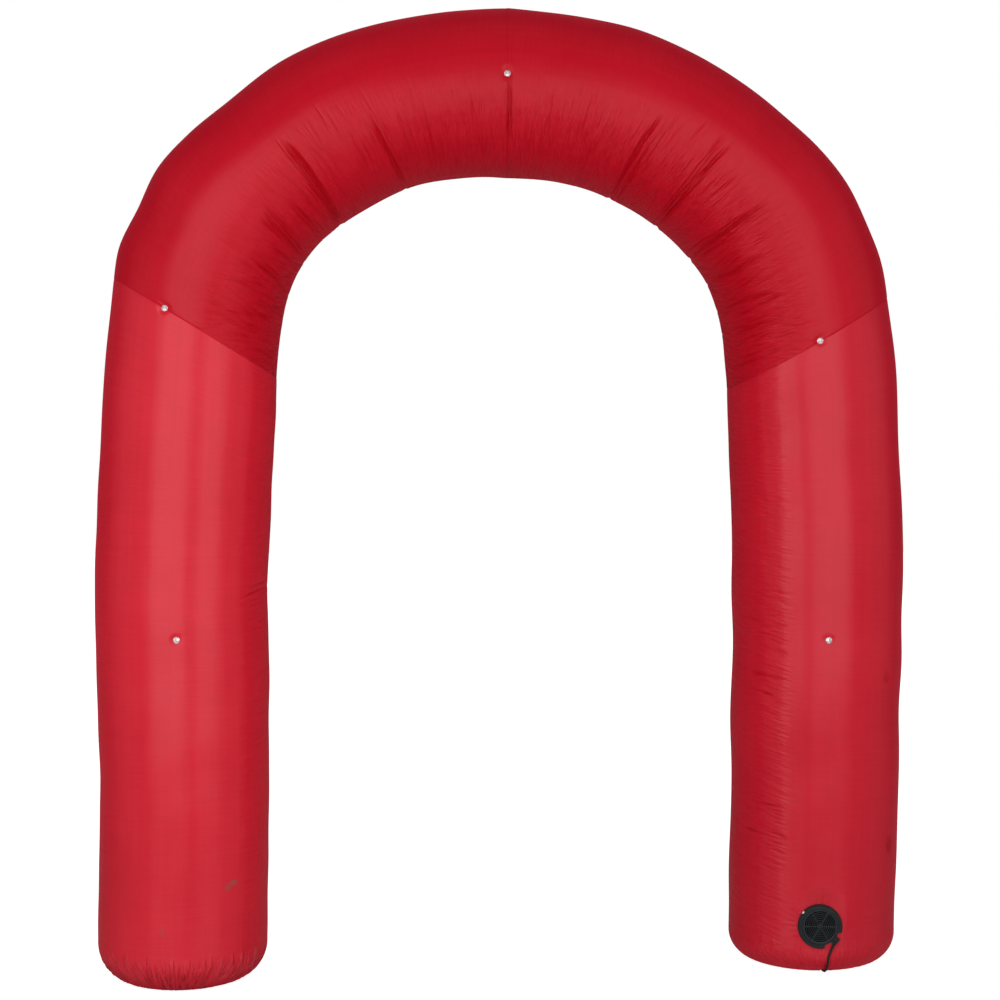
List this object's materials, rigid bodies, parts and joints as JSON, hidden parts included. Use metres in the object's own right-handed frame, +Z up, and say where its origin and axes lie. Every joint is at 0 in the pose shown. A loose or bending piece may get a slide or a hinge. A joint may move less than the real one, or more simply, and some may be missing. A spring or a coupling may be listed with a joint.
{
  "type": "inflatable arch",
  "caption": "Air-filled walk-through arch of sewn cloth panels, with clear light buttons along its front and a small built-in blower with a mains lead near the foot of one leg.",
  "frame": {"origin": "on the floor, in the middle of the arch's width and depth, without the lead", "axes": "+X across the arch, from the plain leg to the leg with the blower; +Y from the front to the back; +Z up"},
  "size_m": [2.314, 0.6594, 2.7338],
  "materials": {
    "leg_cloth": "thin red woven polyester with a soft sheen",
    "crown_cloth": "thin deep red woven polyester with a soft sheen",
    "clear_plastic": "clear moulded, glossy",
    "black_plastic": "moulded, fine grain",
    "black_lead": "soft vinyl",
    "black_plug": "moulded vinyl with metal blades"
  },
  "bodies": {
    "root": {"leg_left": "leg_cloth", "leg_right": "leg_cloth", "crown_left": "crown_cloth", "crown_right": "crown_cloth", "button_leg_left": "clear_plastic", "button_leg_right": "clear_plastic", "button_haunch_left": "clear_plastic", "button_haunch_right": "clear_plastic", "button_crown": "clear_plastic", "blower_body": "black_plastic", "blower_grille": "black_plastic", "cord_relief": "black_lead", "cord": "black_lead", "cord_coil": "black_lead", "cord_tie": "black_lead", "plug": "black_plug"}
  },
  "joints": []
}
